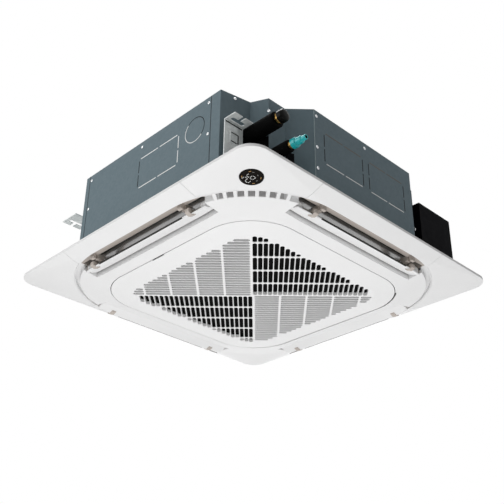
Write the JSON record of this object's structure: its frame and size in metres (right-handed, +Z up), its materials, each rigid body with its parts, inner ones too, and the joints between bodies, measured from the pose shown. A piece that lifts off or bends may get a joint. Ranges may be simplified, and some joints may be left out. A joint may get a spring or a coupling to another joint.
{
  "type": "ceiling cassette air conditioner",
  "caption": "Ceiling cassette air conditioner: square panel with hinged slotted intake grille and swing vanes under a sheet metal casing with hanger brackets and capped pipe stubs",
  "frame": {"origin": "centre of the hanger slots, on the upper faces of the hanger brackets", "axes": "+Z up towards the ceiling slab; -Y the face between the piping corner and the control box; the piping corner is at -X -Y and the control box at +X -Y"},
  "size_m": [0.95, 0.95, 0.313],
  "materials": {
    "casing_steel": "galvanised sheet, matte",
    "bracket_steel": "galvanised",
    "screw_steel": "zinc plated",
    "foam": "expanded foam",
    "panel_white": "fine satin",
    "vane_white": "fine satin",
    "grille_white": "fine satin",
    "lens_black": "gloss",
    "seal_black": "closed-cell rubber",
    "duct_taupe": "matte",
    "guide_bright": "bright sheet",
    "part_black": "matte",
    "filter_mesh": "woven mesh",
    "pan_white": "moulded",
    "coil_fins": "coated fins",
    "copper": "drawn tube",
    "brass_nut": "turned",
    "pipe_foam": "foam rubber",
    "plug_teal": "soft plastic",
    "fan_plastic": "moulded",
    "float_white": "moulded"
  },
  "bodies": {
    "unit": {"top_plate": "casing_steel", "side_plate_front": "casing_steel", "side_plate_left": "casing_steel", "side_plate_back": "casing_steel", "side_plate_right": "casing_steel", "corner_plate_piping": "casing_steel", "corner_plate_control": "casing_steel", "corner_plate_back_right": "casing_steel", "corner_plate_back_left": "casing_steel", "hanger_bracket_front_left": "bracket_steel", "hanger_bracket_front_right": "bracket_steel", "hanger_bracket_back_left": "bracket_steel", "hanger_bracket_back_right": "bracket_steel", "casing_screws": "screw_steel", "panel_screws": "screw_steel", "coil_end_plates": "screw_steel", "foam_liner": "foam", "panel_frame": "panel_white", "corner_cover_front_left": "panel_white", "corner_cover_front_right": "panel_white", "corner_cover_back_right": "panel_white", "corner_cover_back_left": "panel_white", "display_lens": "lens_black", "panel_gasket": "seal_black", "motor_mounts": "seal_black", "cable_bush": "seal_black", "outlet_liners": "duct_taupe", "guide_plates": "guide_bright", "vane_motors": "part_black", "bell_mouth": "part_black", "fan_motor": "part_black", "pipe_cover": "part_black", "control_box": "part_black", "control_cover": "part_black", "terminal_block": "part_black", "drain_pump": "part_black", "gas_plug": "part_black", "drain_pan": "pan_white", "drain_socket": "pan_white", "heat_exchanger": "coil_fins", "coil_return_bends": "copper", "gas_pipe": "copper", "liquid_pipe": "copper", "gas_flare_nut": "brass_nut", "liquid_flare_nut": "brass_nut", "gas_insulation": "pipe_foam", "liquid_insulation": "pipe_foam", "liquid_plug": "plug_teal", "float_switch": "float_white"},
    "rotor": {"turbo_fan": "fan_plastic", "motor_shaft": "screw_steel", "fan_nut": "screw_steel"},
    "grille": {"intake_grille": "grille_white", "air_filter": "filter_mesh"},
    "latch": {"grille_latch": "part_black"},
    "float": {"float_ring": "float_white"},
    "vane_front_flap": {"vane_front": "vane_white"},
    "vane_right_flap": {"vane_right": "vane_white"},
    "vane_back_flap": {"vane_back": "vane_white"},
    "vane_left_flap": {"vane_left": "vane_white"}
  },
  "joints": [
    {"name": "fan_spin", "type": "hinge", "parent": "unit", "child": "rotor", "pos_m": [0, 0, 0], "axis": [0, 0, 1], "continuous": true},
    {"name": "vane_front_swing", "type": "hinge", "parent": "unit", "child": "vane_front_flap", "pos_m": [0, -0.386, -0.186], "axis": [1, 0, 0], "range_deg": [-30, 25]},
    {"name": "vane_right_swing", "type": "hinge", "parent": "unit", "child": "vane_right_flap", "pos_m": [0.386, 0, -0.186], "axis": [0, 1, 0], "range_deg": [-30, 25]},
    {"name": "vane_back_swing", "type": "hinge", "parent": "unit", "child": "vane_back_flap", "pos_m": [0, 0.386, -0.186], "axis": [-1, 0, 0], "range_deg": [-30, 25]},
    {"name": "vane_left_swing", "type": "hinge", "parent": "unit", "child": "vane_left_flap", "pos_m": [-0.386, 0, -0.186], "axis": [0, -1, 0], "range_deg": [-30, 25]},
    {"name": "grille_swing", "type": "hinge", "parent": "unit", "child": "grille", "pos_m": [0.292, 0, -0.2034], "axis": [0, -1, 0], "range_deg": [0, 75]},
    {"name": "latch_slide", "type": "slide", "parent": "grille", "child": "latch", "axis": [1, 0, 0], "range_m": [0, 0.005], "stiffness_N_per_m": 400},
    {"name": "float_rise", "type": "slide", "parent": "unit", "child": "float", "axis": [0, 0, 1], "range_m": [0, 0.01]}
  ]
}
